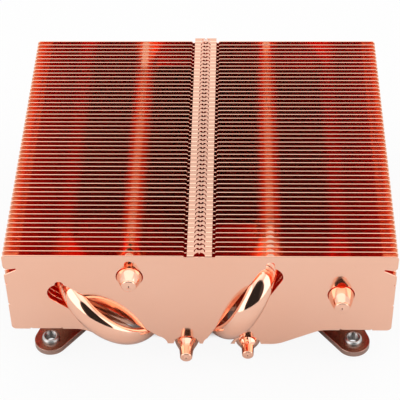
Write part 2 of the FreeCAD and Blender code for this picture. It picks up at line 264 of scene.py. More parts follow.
copper_fresh = (0.98, 0.58, 0.43)
copper_aged = (0.965, 0.535, 0.38)
fin_copper = metal(
    "rolled_copper", copper_fresh, copper_aged, patches=45.0, drift=0.5,
    roughness=0.12, rough_spread=0.03, lines=2500.0, stretch=(0.004, 1.0, 1.0), line_height=0.004)
pipe_copper = metal(
    "polished_pipe_copper", (0.97, 0.58, 0.43), (0.94, 0.51, 0.36), patches=120.0, drift=0.7,
    roughness=0.07, rough_spread=0.03, lines=1200.0, stretch=(1.0, 0.05, 1.0), line_height=0.004)
dull_between(pipe_copper, reach=0.036, roughness=0.5)
base_copper = metal(
    "milled_copper", copper_fresh, copper_aged, patches=70.0, drift=0.6,
    roughness=0.26, rough_spread=0.06, lines=5000.0, stretch=(0.01, 1.0, 0.01), line_height=0.02)
# the brackets are grey steel, but both their colours here are copper brown: painted reflection of the
# copper fins and base above them
bracket_metal_painted_reflection = metal(
    "brushed_bracket_metal_painted_reflection", (0.50, 0.33, 0.27), (0.34, 0.19, 0.15), patches=90.0, drift=0.8,
    roughness=0.22, rough_spread=0.08, lines=4000.0, stretch=(0.05, 1.0, 1.0), line_height=0.01)
standoff_steel = metal(
    "turned_standoff_steel", (0.58, 0.57, 0.56), (0.44, 0.43, 0.42), patches=300.0, drift=0.6,
    roughness=0.36, rough_spread=0.06, lines=6000.0, stretch=(0.02, 0.02, 1.0), line_height=0.01)
for finish in (fin_copper, pipe_copper, base_copper, bracket_metal_painted_reflection, standoff_steel):
    print("finish", finish.name)


# %% Put a worked-out surface into a mesh
def add_piece(name, points, faces, finish, stands_for, normals=None):
    """Points in millimetres and faces by index become one smooth mesh, in metres, on the body."""
    mesh = bpy.data.meshes.new(name)
    mesh.from_pydata((points * MM).tolist(), [], faces.tolist())
    mesh.polygons.foreach_set("use_smooth", np.ones(len(mesh.polygons), bool))
    if normals is not None:
        mesh.normals_split_custom_set_from_vertices(normals.tolist())
    mesh.materials.append(finish)
    piece = bpy.data.objects.new(name, mesh)
    bpy.context.scene.collection.objects.link(piece)
    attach(piece, body)
    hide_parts(*stands_for)


def wrapped_grid_faces(rows, columns, close_rows=False):
    """Quads of a grid whose columns wrap round; the rows wrap too where close_rows is set."""
    first = np.arange(rows if close_rows else rows - 1)[:, None]
    column = np.arange(columns)[None, :]
    next_row = (first + 1) % rows
    next_column = (column + 1) % columns
    corners = [first * columns + column, first * columns + next_column,
               next_row * columns + next_column, next_row * columns + column]
    return np.stack([np.broadcast_to(c, (len(first), columns)) for c in corners], -1).reshape(-1, 4)


def split_quads(quads):
    """Two triangles for each quad."""
    return [quads[:, [0, 1, 2]], quads[:, [0, 2, 3]]]


def outward_faces(points, triangles):
    """Turns a closed surface's triangles over where the volume they enclose comes out negative."""
    a, b, c = points[triangles.T]
    volume = np.einsum("ij,ij->i", a, np.cross(b, c)).sum() / 6
    return triangles if volume > 0 else triangles[:, ::-1]


print("mesh helpers ready")


# %% [markdown]
# ## Heat pipes
# A heat pipe is a sealed copper tube, bent to a U. Its ends are spun down to a shoulder and a
# small nub, with a bead on its end where it was welded shut. It could be a curve with a round
# bevel, but the tips need a changing radius. So it is worked out as rings: each ring has a middle,
# two directions and a radius, and all rings are computed together.

# %% Where each pipe runs
pipe_radius = 3.0
bend_half_thickness = 1.65
bend_half_width = 2.95
stack_face = -box_mm("fin_01")[0][1]


def pipe_course(node):
    """A pipe's upper and lower leg in X and Z, the sign of Y its bend looks to, and the bend's start.

    All come from the pipe's box. The upper leg is the one farther from the middle."""
    low, high = box_mm(node)
    forward = -1.0 if "front" in node else 1.0
    nose_y = low[1] if forward < 0 else high[1]
    leg_x = [high[0] - pipe_radius, low[0] + pipe_radius]
    upper_x, lower_x = leg_x if high[0] > -low[0] else leg_x[::-1]
    upper = np.array([upper_x, high[2] - pipe_radius])
    lower = np.array([lower_x, low[2] + pipe_radius])
    bend_y = nose_y - forward * (bend_half_thickness + np.linalg.norm(upper - lower) / 2)
    return upper, lower, forward, bend_y


pipe_nodes = [name for name in frame["nodes"] if name.startswith("heat_pipe")]
pipe_courses = [pipe_course(node) for node in pipe_nodes]
for node, (upper, lower, forward, bend_y) in zip(pipe_nodes, pipe_courses):
    print(node, "legs at", np.round(upper, 1), np.round(lower, 1), "bends from y", round(bend_y, 1))


# %% The sealed tips
tip_edge = 0.35                         # round of the end's rim
bead_height, bead_width = 0.42, 0.75    # the weld bead in the middle of the end
rim_facet, cone_facet = 0.005, 0.035    # depth of the flats that the closing rollers leave


def tip_profile(overhang, end_radius, nub_radius, cone_start, cone_end, swell):
    """(distance outside the stack, radius, facet depth) of a sealed tip, from its end inwards.

    From the bead's peak the end falls off by height * tanh(1.2 radius / width), so it is nearly flat
    past the bead. Its rim is a quarter round, edge * cos(a) along and edge * sin(a) outwards. Past
    the nub, a cone widens to the full tube. Along the share s of the cone's length its radius grows
    as 0.55 s + 0.45 (3 s^2 - 2 s^3), or, where it swells, as 1 - (1 - s)^1.6."""
    flat = np.linspace(0.02, end_radius - tip_edge, 12)
    below = bead_height * np.tanh(1.2 * flat / bead_width)
    turn = np.radians(np.linspace(0, 90, 8))[1:]
    share = np.linspace(0, 1, 20)
    soft = 0.55 * share + 0.45 * (3 * share ** 2 - 2 * share ** 3)
    soft += swell * (1 - (1 - share) ** 1.6 - soft)
    out = np.concatenate([overhang - below, overhang - below[-1] - tip_edge + tip_edge * np.cos(turn),
                          cone_start + share * (cone_end - cone_start)])
    radius = np.concatenate([flat, end_radius - tip_edge + tip_edge * np.sin(turn),
                             nub_radius + (pipe_radius - nub_radius) * soft])
    facet = np.concatenate([np.zeros(len(flat)), np.linspace(0, rim_facet, len(turn)),
                            cone_facet * np.sin(np.pi * np.clip(share + 0.12, 0, 1))])
    return out, radius, facet


# (overhang, radius of the end, radius of the nub, the cone's start and end, swell), upper and lower
tips = {
    "outer": ((4.9, 1.85, 1.85, 4.1, 0.0, 1), (3.8, 1.42, 1.52, 0.9, -1.7, 0)),
    "inner": ((3.65, 1.8, 1.8, 2.85, 0.0, 1), (4.7, 1.5, 1.7, 1.8, -1.6, 0)),
}
for kind, (upper_tip, lower_tip) in tips.items():
    print(kind, "tips reach", upper_tip[0], "and", lower_tip[0], "mm out")


# %% Heat pipe surface
ring_points = 64
bend_rings = 64
flatten_before = 4.0        # how far up each leg the flattening starts
flatten_length = 9.0        # and over what length it is done
leg_rings, leg_gap = 5, 5.0     # on each straight leg, the last of them this far before the bend
roller_flats, roller_turn = 7, 0.4


def pipe_surface(course, upper_tip, lower_tip):
    """Rings about the pipe's middle line: straight back, half a circle, straight back.

    The middle line of the bend is centre + radius * (cos a * outward + sin a * forward). Each ring
    is an oval: half thickness * cos b * in-plane direction + half width * sin b * across. On the
    cones both lose facet * (1 - cos 7 b), the flats that the rollers leave when they close a tip."""
    upper, lower, forward, bend_y = course
    bend_radius = np.linalg.norm(upper - lower) / 2
    centre = (upper + lower) / 2
    outward = (upper - centre) / bend_radius

    legs = []
    for tip in (upper_tip, lower_tip):
        out, radius, facet = tip_profile(*tip)
        tip_y = -forward * (stack_face + out)
        straight = np.linspace(tip_y[-1] + forward * 0.3, bend_y - forward * leg_gap, leg_rings)
        legs.append((np.append(tip_y, straight), np.append(radius, np.full(leg_rings, pipe_radius)),
                     np.append(facet, np.zeros(leg_rings))))
    # the bend's rings start a little up each leg, where the pipe begins to flatten
    half_turn = np.pi * bend_radius
    along = np.linspace(-flatten_before, half_turn + flatten_before, bend_rings)
    angle = np.clip(along / bend_radius, 0, np.pi)
    beyond = np.clip(-along, 0, None) + np.clip(along - half_turn, 0, None)
    ease = np.clip((np.minimum(along, half_turn - along) + flatten_before) / flatten_length, 0, 1)
    flat = ease ** 2 * (3 - 2 * ease)

    def whole(first, bend, last):
        """Down the upper leg, round the bend and out along the lower leg."""
        return np.concatenate([first, bend, last[::-1]])

    (upper_y, upper_radius, upper_facet), (lower_y, lower_radius, lower_facet) = legs
    share = whole(np.ones(len(upper_y)), np.cos(angle), -np.ones(len(lower_y)))
    y = whole(upper_y, bend_y + forward * (bend_radius * np.sin(angle) - beyond), lower_y)
    turn = whole(np.zeros(len(upper_y)), angle, np.full(len(lower_y), np.pi))
    wide = whole(upper_radius, pipe_radius - (pipe_radius - bend_half_width) * flat, lower_radius)
    thin = whole(upper_radius, pipe_radius - (pipe_radius - bend_half_thickness) * flat, lower_radius)
    facets = whole(upper_facet, np.zeros(bend_rings), lower_facet)

    middle = np.stack([centre[0] + share * bend_radius * outward[0], y,
                       centre[1] + share * bend_radius * outward[1]], 1)
    in_plane = np.stack([np.cos(turn) * outward[0], forward * np.sin(turn),
                         np.cos(turn) * outward[1]], 1)
    across = np.array([-outward[1], 0.0, outward[0]])
    round_about = np.linspace(0, 2 * np.pi, ring_points, endpoint=False)
    lost = facets[:, None] * (1 - np.cos(roller_flats * round_about + roller_turn)[None])
    points = (middle[:, None]
              + ((thin[:, None] - lost) * np.cos(round_about)[None])[..., None] * in_plane[:, None]
              + ((wide[:, None] - lost) * np.sin(round_about)[None])[..., None] * across[None, None])
    rings = len(points)
    points = np.concatenate([points.reshape(-1, 3), middle[:1], middle[-1:]])
    # a fan of triangles closes each end, about a point in its middle
    here = np.arange(ring_points)
    there = (here + 1) % ring_points
    last = (rings - 1) * ring_points
    pole = np.full(ring_points, rings * ring_points)
    caps = [np.stack([here, pole, there], 1), np.stack([last + there, pole + 1, last + here], 1)]
    triangles = np.concatenate([*split_quads(wrapped_grid_faces(rings, ring_points)), *caps])
    return points, outward_faces(points, triangles)


print("pipe rings of", ring_points, "points,", bend_rings, "in the bend")


# %% Heat pipes in place
for node, course in zip(pipe_nodes, pipe_courses):
    points, faces = pipe_surface(course, *tips[node.split("_")[-1]])
    add_piece(node + "_tube", points, faces, pipe_copper, (node,))
    print(node, len(faces), "faces")


# %% [markdown]
# ## Cutting and folding sheet
# A fin is stamped flat from copper strip and its tabs are then folded back. The same order works
# here: cut the flat blank as triangles, then work out where the fold carries each point. A solid
# box cut with booleans would give the outline, but not the round of a fold or a soft stamped edge.

# %% Outlines with round corners
def rounded(corners, steps=6):
    """A closed outline from (x, y, radius) corners, each replaced by points on its fillet arc.

    The arc's middle lies on the corner's bisector at radius / sin(half angle), and the arc's points
    swing evenly from one foot of the perpendicular to the other."""
    corners = np.array(corners, float)
    place, radius = corners[:, :2], corners[:, 2:]
    before = np.roll(place, 1, 0) - place
    after = np.roll(place, -1, 0) - place
    before /= np.linalg.norm(before, axis=1, keepdims=True)
    after /= np.linalg.norm(after, axis=1, keepdims=True)
    half = np.arccos(np.clip((before * after).sum(1, keepdims=True), -1, 1)) / 2
    reach = radius / np.tan(half)
    bisector = before + after
    bisector /= np.maximum(np.linalg.norm(bisector, axis=1, keepdims=True), 1e-9)
    centre = place + bisector * radius / np.sin(half)
    first = place + before * reach - centre
    last = place + after * reach - centre
    sweep = np.pi - 2 * half
    share = np.linspace(0, 1, steps)[None, :, None]
    arc = (np.sin((1 - share) * sweep[:, None]) * first[:, None]
           + np.sin(share * sweep[:, None]) * last[:, None]) / np.sin(sweep)[:, None]
    points = (centre[:, None] + arc).reshape(-1, 2)
    apart = np.linalg.norm(points - np.roll(points, 1, 0), axis=1) > 1e-4
    return points[apart]


def ring(centre, radius, count=48):
    """Points on a circle: centre + radius * (cos a, sin a)."""
    angle = np.linspace(0, 2 * np.pi, count, endpoint=False)
    return centre + radius * np.stack([np.cos(angle), np.sin(angle)], 1)


def long_hole(top, foot, radius, count=25):
    """A slot's outline: half a circle about each end, joined by straight sides."""
    lean = math.atan2(*(foot - top)[::-1])
    angle = np.linspace(-np.pi / 2, np.pi / 2, count) + lean
    spread = radius * np.stack([np.cos(angle), np.sin(angle)], 1)
    return np.concatenate([foot + spread, top - spread])


print("outline tools ready")


# %% Cut a blank
weld_distance = 1e-5        # points closer than this become one, in millimetres


def inside(places, loop):
    """A place is inside where a level line from it crosses the loop an odd number of times."""
    x, y = places[:, :1], places[:, 1:]
    x1, y1 = loop.T
    x2, y2 = np.roll(loop, -1, 0).T
    spans = (y1 > y) != (y2 > y)
    rise = np.where(y2 == y1, 1.0, y2 - y1)
    return (spans & (x < x1 + (y - y1) / rise * (x2 - x1))).sum(1) % 2 == 1


def cut_blank(outline, openings, creases=()):
    """Triangles that fill the outline outside its openings, with edges along every crease.

    Also returns the rim's edges, those of one triangle alone, and for each point the direction out
    of the sheet, the mean of its rim edges' normals."""
    loops = [outline, *openings]
    starts = np.cumsum([0] + [len(loop) for loop in loops])
    edges = [np.stack([np.arange(len(loop)), np.roll(np.arange(len(loop)), -1)], 1) + start
             for loop, start in zip(loops, starts)]
    if len(creases):
        edges.append(np.arange(2 * len(creases)).reshape(-1, 2) + starts[-1])
        loops.append(np.array(creases).reshape(-1, 2))
    cut = delaunay_2d_cdt([Vector(p) for p in np.concatenate(loops)],
                          np.concatenate(edges).tolist(), [], 0, weld_distance, False)
    flat = np.array([tuple(v) for v in cut[0]])
    triangles = np.array(cut[2])
    a, b, c = flat[triangles.T]
    area = (b[:, 0] - a[:, 0]) * (c[:, 1] - a[:, 1]) - (b[:, 1] - a[:, 1]) * (c[:, 0] - a[:, 0])
    triangles[area < 0] = triangles[area < 0][:, ::-1]
    middle = flat[triangles].mean(1)
    keep = inside(middle, outline)
    for opening in openings:
        keep &= ~inside(middle, opening)
    used, triangles = np.unique(triangles[keep], return_inverse=True)
    flat, triangles = flat[used], triangles.reshape(-1, 3)

    sides = np.concatenate([triangles[:, [0, 1]], triangles[:, [1, 2]], triangles[:, [2, 0]]])
    key = sides.min(1) * len(flat) + sides.max(1)
    _, first, count = np.unique(key, return_index=True, return_counts=True)
    rim = sides[first[count == 1]]
    run = flat[rim[:, 1]] - flat[rim[:, 0]]
    normal = np.stack([run[:, 1], -run[:, 0]], 1) / np.linalg.norm(run, axis=1, keepdims=True)
    out = np.zeros_like(flat)
    np.add.at(out, rim[:, 0], normal)
    np.add.at(out, rim[:, 1], normal)
    out /= np.maximum(np.linalg.norm(out, axis=1, keepdims=True), 1e-9)
    return flat, triangles, rim, out


print("cutting tools ready")


# %% Give a cut blank its thickness
edge_steps = ((60, 1), (30, 1), (0, 1), (0, -1), (-30, -1), (-60, -1))      # (degrees, side)


def thicken(blank, lay, thickness, edge_round):
    """Two skins half a thickness either side of the laid-out blank, joined by a round edge.

    A point of the edge is laid + round * cos(a) * out + (side * (half - round) + round * sin(a)) *
    normal. At the front skin a is 90 degrees and side 1, at the back skin -90 degrees and -1. The
    round is one number, or one for each point of the blank."""
    flat, triangles, rim, out = blank
    middle, along_x, along_y, normal = lay(flat)
    out = out[:, :1] * along_x + out[:, 1:] * along_y
    half = thickness / 2
    count = len(flat)
    edge_points, rim_index = np.unique(rim, return_inverse=True)
    rim_index = rim_index.reshape(-1, 2)
    points = [middle + normal * half, middle - normal * half]
    normals = [normal, -normal]
    rows = [rim]
    rounds = np.broadcast_to(edge_round, count)[edge_points][:, None]
    face_out, face_up = out[edge_points], normal[edge_points]
    for number, (angle, side) in enumerate(edge_steps):
        a = math.radians(angle)
        height = side * (half - rounds) + rounds * math.sin(a)
        points.append(middle[edge_points] + rounds * math.cos(a) * face_out + height * face_up)
        normals.append(math.cos(a) * face_out + math.sin(a) * face_up)
        rows.append(rim_index + 2 * count + number * len(edge_points))
    rows.append(rim + count)
    faces = [triangles, triangles[:, ::-1] + count]
    for here, there in zip(rows[:-1], rows[1:]):
        faces.append(np.stack([here[:, 1], here[:, 0], there[:, 0]], 1))
        faces.append(np.stack([here[:, 1], there[:, 0], there[:, 1]], 1))
    return np.concatenate(points), np.concatenate(faces), np.concatenate(normals)


print("sheet tools ready")


# %% [markdown]
# ## The fins
# Each fin's top middle tab has an arched window, and a tongue that reaches into the window of the
# fin behind it, so the stack locks together like a zip. A small tooth at the window's crown sits in
# a notch in the tongue. Plain tabs on the sides and under the wings only keep the distance. The
# pipes' legs run through round holes, and their bends through long slots. Over each upper leg the
# opening rises to a small lobe, which holds the solder before the stack is heated.

# %% Fin sizes, read from the frame where it has them
fin_nodes = sorted(name for name in frame["nodes"] if name.startswith("fin_"))
front_low, front_high = box_mm(fin_nodes[0])
pitch = box_mm(fin_nodes[1])[0][1] - front_low[1]
sheet_thickness = 0.3
stamped_edge = 0.13
fine_edge = 0.04        # on the middle tab and round the openings, which are cut sharper
wing_drop = 25.3        # from the top edge down to the wings' lower edge
half_width = front_high[0] - stamped_edge
top_z = front_high[2] - stamped_edge
foot_z = front_low[2] + stamped_edge
wing_z = front_high[2] - wing_drop + stamped_edge
tab_reach = front_high[1] - front_low[1]
fold_inside = 0.06
fold_radius = fold_inside + sheet_thickness / 2
fold_arc = fold_radius * np.pi / 2
tab_length = tab_reach - fine_edge - sheet_thickness / 2 - fold_radius + fold_arc

middle_tab_half = 2.86
middle_tab_fold = front_high[2] - fold_radius - sheet_thickness / 2
middle_tab_root = middle_tab_fold - 0.02
relief_depth = 0.62
side_tab_drop, side_tab_height = 9.85, 6.4
side_tab_fold = front_high[0] - fold_radius - sheet_thickness / 2
side_tab_top = front_high[2] - side_tab_drop
side_tab_low = side_tab_top - side_tab_height
foot_tab_inset, foot_tab_width = 5.0, 6.9
foot_tab_fold = front_high[2] - wing_drop + fold_radius + sheet_thickness / 2
foot_tab_outer = front_high[0] - foot_tab_inset
foot_tab_inner = foot_tab_outer - foot_tab_width
slit_width = 0.55       # beside each side and foot tab
print("fins", len(fin_nodes), "pitch", round(pitch, 3), "flat tab length", round(tab_length, 2))

# %% The openings a fin has for the pipes
hole_gap, slot_gap = 0.2, 0.03
hole_radius = pipe_radius + hole_gap + fine_edge
slot_radius = pipe_radius + slot_gap + fine_edge
lobe_half = 1.03 + fine_edge
lobe_rises = {"outer": 0.9 + fine_edge, "inner": 1.9 + fine_edge}       # above the pipe's opening
lobe_points = 32


def solder_lobe(outline, leg, radius, rise):
    """An anticlockwise opening with a small lobe straight above the pipe's leg, for the solder.

    The points within the lobe's half width give way to two straight sides and half a circle,
    leg + (half * cos a, radius + rise - half + half * sin a)."""
    x, z = (outline - leg).T
    covered = (np.abs(x) < lobe_half) & (z > 0)
    first = np.flatnonzero(covered)[0]
    shoulder = math.sqrt(radius ** 2 - lobe_half ** 2)
    crown = ring(leg + [0, radius + rise - lobe_half], lobe_half, lobe_points)[:lobe_points // 2 + 1]
    sides = leg + np.array([[lobe_half, shoulder], [-lobe_half, shoulder]])
    rest = outline[first:][~covered[first:]]
    return np.concatenate([outline[:first], sides[:1], crown, sides[1:], rest])


def pipe_openings(front_y):
    """The openings of the fin at front_y: slots where it stands in a bend, else round holes."""
    openings = []
    for node, (upper, lower, forward, bend_y) in zip(pipe_nodes, pipe_courses):
        in_bend = front_y < bend_y if forward < 0 else front_y + sheet_thickness > bend_y
        radius = slot_radius if in_bend else hole_radius
        opening = long_hole(upper, lower, radius) if in_bend else ring(upper, radius)
        openings.append(solder_lobe(opening, upper, radius, lobe_rises[node.split("_")[-1]]))
        openings.append(ring(lower, hole_radius))
    return openings


print("hole radius", round(hole_radius, 2), "slot half width", round(slot_radius, 2))


# %% The lock in the middle tab
window_half = 1.37
window_start = 0.1
window_crown = 1.44
tooth = (0.16, 0.45)        # half width and depth of the tooth at the window's crown
notch = (0.6, 0.64)         # the same for the notch in the tongue that takes it
lock_gap = 0.3
stub_foot, stub_top, stub_rise = 0.26, 0.16, 0.16       # on the first fin, which takes no tongue
nick_mouth, nick_floor, nick_depth = 0.35, 0.2, 0.3     # on the last fin, which has no tongue


def flat_height(back):
    """How far up the flat blank a point lies that the fold carries this far behind the fin's face."""
    return middle_tab_fold + fold_arc + back - sheet_thickness / 2 - fold_radius


def lock_arch(shrink, back, dent):
    """Half a circle over the tab's middle, dented at its crown, as (x, height) points.

    x = half width * cos a, back = start + rise * sin a - depth * exp(-(x / width)^4)."""
    dent_width, dent_depth = dent
    angle = np.linspace(0, np.pi, 61)
    x = (window_half - shrink) * np.cos(angle)
    rise = (window_crown - shrink - window_start) * np.sin(angle)
    dent_here = dent_depth * np.exp(-(x / dent_width) ** 4)
    return np.stack([x, flat_height(back + window_start + rise - dent_here)], 1)


def window_opening(with_stub):
    """The window's outline: the arch, closed along the fin's own lowered edge."""
    base, top = middle_tab_root, middle_tab_root + stub_rise
    stub = [[-stub_foot, base], [-stub_top, top], [stub_top, top], [stub_foot, base]]
    ends = np.array([[-window_half, base], *(stub if with_stub else []), [window_half, base]])
    return np.concatenate([lock_arch(0.0, 0.0, tooth), ends])


def tab_end(with_tongue):
    """The middle tab's far edge, right to left, with its tongue or, on the last fin, a nick."""
    end = middle_tab_fold + tab_length
    if with_tongue:
        return np.concatenate([[[middle_tab_half, end], [window_half - lock_gap, end]],
                               lock_arch(lock_gap, pitch, notch),
                               [[-window_half + lock_gap, end], [-middle_tab_half, end]]])
    return np.array([[middle_tab_half, end], [nick_mouth, end], [nick_floor, end - nick_depth],
                     [-nick_floor, end - nick_depth], [-nick_mouth, end], [-middle_tab_half, end]])


print("window", 2 * window_half, "mm wide, tongue", 2 * (window_half - lock_gap), "mm wide")


# %% The flat blank's outline
clip_drop, clip_mouth, clip_depth = 4.7, 1.85, 3.0      # the fan clip's slot in each side edge
clip_floor_top, clip_floor_low = 0.55, -0.2     # it slants: where its floor lies from its mouth's top
relief_outer, shoulder_start = 3.66, 3.72
slit_depth = 0.15                               # past the fold of the tab beside it
sweep_start_inset, foot_half, sweep_radius = 17.1, 18.6, 7.0


def right_edge():
    """Corners (x, height, radius) from the relief beside the middle tab down to the foot."""
    mouth_top = top_z + stamped_edge - clip_drop
    mouth_low = mouth_top - clip_mouth
    relief_z = top_z + stamped_edge - relief_depth
    side_end = side_tab_fold + tab_length - (stamped_edge - fine_edge)
    foot_end = foot_tab_fold - tab_length + (stamped_edge - fine_edge)
    fold_in = side_tab_fold - slit_depth
    fold_up = foot_tab_fold + slit_depth
    return [
        (middle_tab_half, middle_tab_root, 0),
        (middle_tab_half, relief_z, 0.2),
        (relief_outer, relief_z, 0.25),
        (shoulder_start, top_z, 0.3),
        (half_width, top_z, 0.8),
        (half_width, mouth_top, 0.9),
        (half_width - clip_depth, mouth_top + clip_floor_top, 0.3),
        (half_width - clip_depth, mouth_top + clip_floor_low, 0.3),
        (half_width, mouth_low, 0.3),
        (half_width, side_tab_top + slit_width, 0.06),
        (fold_in, side_tab_top + slit_width, 0),
        (fold_in, side_tab_top, 0),
        (side_end, side_tab_top, 0),
        (side_end, side_tab_low, 0),
        (fold_in, side_tab_low, 0),
        (fold_in, side_tab_low - slit_width, 0),
        (half_width, side_tab_low - slit_width, 0.06),
        (half_width, wing_z, 1.0),
        (foot_tab_outer + slit_width, wing_z, 0.06),
        (foot_tab_outer + slit_width, fold_up, 0),
        (foot_tab_outer, fold_up, 0),
        (foot_tab_outer, foot_end, 0),
        (foot_tab_inner, foot_end, 0),
        (foot_tab_inner, fold_up, 0),
        (foot_tab_inner - slit_width, fold_up, 0),
        (foot_tab_inner - slit_width, wing_z, 0.06),
        (front_high[0] - sweep_start_inset, wing_z, sweep_radius),
        (foot_half, foot_z, sweep_radius),
    ]


def blank_outline(with_tongue):
    """The whole outline, clockwise: far edge of the tab, right edge, and its mirror image."""
    edge = right_edge()
    sides = rounded(edge + [(-x, y, r) for x, y, r in reversed(edge)])
    start = np.argmin(np.abs(sides - [middle_tab_half, middle_tab_root]).sum(1))
    return np.concatenate([np.roll(sides, -start, 0), tab_end(with_tongue)[::-1]])


def fold_creases():
    """Straight creases across every fold, where the round of the fold needs points."""
    steps = np.linspace(0, fold_arc, 5)
    creases = [[[-middle_tab_half, middle_tab_fold + t], [middle_tab_half, middle_tab_fold + t]]
               for t in steps]
    for side in (-1, 1):
        creases += [[[side * (side_tab_fold + t), z] for z in (side_tab_low, side_tab_top)]
                    for t in steps]
        creases += [[[side * x, foot_tab_fold - t] for x in (foot_tab_inner, foot_tab_outer)]
                    for t in steps]
    return creases


print("outline with", len(blank_outline(True)), "points,", len(fold_creases()), "creases")


# %% Fold the blank
to_right, to_back, to_top = np.eye(3)


def fold(flat):
    """Where the folds carry the flat blank's points, with the sheet's two directions and its normal.

    A point that lies t past a fold line turns by a = t / fold radius, at most a quarter turn. It ends
    up radius * sin(a) out from the line and radius * (1 - cos(a)) back, plus what is left of t."""
    x, height = flat.T
    width = np.abs(x)
    side = np.sign(x)
    # each tab with a small margin, so that no point on its edge is missed
    on_middle = (width < middle_tab_half + 0.2) & (height > middle_tab_fold)
    on_side = (width > side_tab_fold) & (height < side_tab_top + 0.1) & (height > side_tab_low - 0.1)
    on_foot = (height < foot_tab_fold) & (width < foot_tab_outer + 0.1) & (width > foot_tab_inner - 0.1)
    tabs = [on_middle, on_side, on_foot]
    past = np.select(
        tabs, [height - middle_tab_fold, width - side_tab_fold, foot_tab_fold - height], 0.0)
    out = np.stack([np.select(tabs, [0 * x, side, 0 * x], 0.0),
                    np.select(tabs, [1 + 0 * x, 0 * x, -1 + 0 * x], 0.0)], 1)
    angle = np.clip(past / fold_radius, 0, np.pi / 2)
    straight = np.maximum(past - fold_arc, 0)
    moved = flat + out * (fold_radius * np.sin(angle) - past)[:, None]
    back = fold_radius * (1 - np.cos(angle)) + straight
    middle = np.stack([moved[:, 0], sheet_thickness / 2 + back, moved[:, 1]], 1)

    out3 = np.stack([out[:, 0], 0 * x, out[:, 1]], 1)
    normal = -np.cos(angle)[:, None] * to_back + np.sin(angle)[:, None] * out3
    turned = np.cos(angle)[:, None] * out3 + np.sin(angle)[:, None] * to_back
    along_x = np.where(on_side[:, None], side[:, None] * turned, to_right)
    along_z = np.where(on_middle[:, None], turned, np.where(on_foot[:, None], -turned, to_top))
    return middle, along_x, along_z, normal


folded_end = fold(np.array([[0.0, middle_tab_fold + tab_length]]))[0][0]
print("the middle tab ends", round(folded_end[1], 2), "mm behind the face")


# %% All fins
shaped = {}
for number, node in enumerate(fin_nodes):
    front_y = box_mm(node)[0][1]
    is_first, is_last = number == 0, number == len(fin_nodes) - 1
    openings = pipe_openings(front_y)
    kind = (is_first, is_last, tuple(len(opening) for opening in openings))
    if kind not in shaped:
        blank = cut_blank(blank_outline(not is_last), openings + [window_opening(is_first)],
                          fold_creases())
        flat = blank[0]
        # the middle tab and the openings' edges are sharp, every other edge is round
        sharp = (np.abs(flat[:, 0]) < middle_tab_half + 0.05) & (flat[:, 1] > middle_tab_fold - 0.05)
        apart = np.linalg.norm(flat[:, None] - np.concatenate(openings)[None], axis=2)
        sharp |= apart.min(1) < 0.01
        shaped[kind] = thicken(blank, fold, sheet_thickness, np.where(sharp, fine_edge, stamped_edge))
        print(node, "kind with", len(shaped[kind][1]), "faces")
    points, faces, normals = shaped[kind]
    add_piece(node + "_sheet", points + [0, front_y, 0], faces, fin_copper, (node,),
              normals)


# %% [markdown]
# ## Brackets and standoffs
# Two steel brackets lie under the base plate's flanges and reach out under the fins. Each arm's tip
# holds a pressed-in standoff with a fine thread. The bracket is sheet again, only thicker and never
# folded, so it uses the same tools. The standoff is turned, so it is a profile spun round an axis.

# %% Brackets
bracket_low, bracket_high = box_mm("mounting_brackets")
bolt_reach = 37.5           # from the middle to each standoff, along X and along Y
bracket_thickness = 1.6
bracket_bottom = bracket_low[2]
bracket_edge = 0.14
arm_tip = 4.1 - bracket_edge
arm_inner, arm_outer = math.radians(52), math.radians(70)       # how an arm's two edges lean from X
root_x = 16.3 + bracket_edge
root_radius, waist_radius = 2, 25
standoff_radius = 2.15


def bracket_outline():
    """Two arms that spread from the base plate's flank, each round about its standoff.

    An arm's edges meet beyond the standoff, at tip radius / sin(half their spread) from it."""
    middle, half_spread = (arm_inner + arm_outer) / 2, (arm_outer - arm_inner) / 2
    midway = np.array([math.cos(middle), math.sin(middle)])
    apex = bolt_reach + arm_tip / math.sin(half_spread) * midway
    root_y = apex[1] - (apex[0] - root_x) * math.tan(arm_inner)
    waist_x = apex[0] - apex[1] / math.tan(arm_outer)
    return rounded([(root_x, -root_y, root_radius), (apex[0], -apex[1], arm_tip),
                    (waist_x, 0, waist_radius), (apex[0], apex[1], arm_tip),
                    (root_x, root_y, root_radius)], steps=24)


def lay_level(side):
    """Lays a blank level at the brackets' height, turned half round for the left side."""
    def lay(flat):
        count = len(flat)
        level = np.full(count, bracket_bottom + bracket_thickness / 2)
        middle = np.stack([side * flat[:, 0], side * flat[:, 1], level], 1)
        directions = ([side, 0.0, 0.0], [0.0, side, 0.0], [0.0, 0.0, 1.0])
        return middle, *(np.tile(direction, (count, 1)) for direction in directions)
    return lay


bolt_rings = [ring((bolt_reach, end * bolt_reach), standoff_radius + bracket_edge) for end in (-1, 1)]
bracket_blank = cut_blank(bracket_outline(), bolt_rings)
for side, word in ((1, "right"), (-1, "left")):
    points, faces, normals = thicken(bracket_blank, lay_level(side), bracket_thickness, bracket_edge)
    faces = outward_faces(points, faces)
    add_piece(f"bracket_{word}", points, faces, bracket_metal_painted_reflection,
              ("mounting_brackets",), normals)
    print("bracket", word, len(faces), "faces")

# %% Standoffs
standoff_top = bracket_high[2]
chamfer = 0.45
low_mouth, top_mouth = 1.45, 1.6        # radius of the bore's mouth below and on top
bore_radius = 1.25
thread_pitch, thread_depth = 0.5, 0.2
thread_margin = 0.12                    # from each mouth to the thread
thread_rings, standoff_points = 66, 48


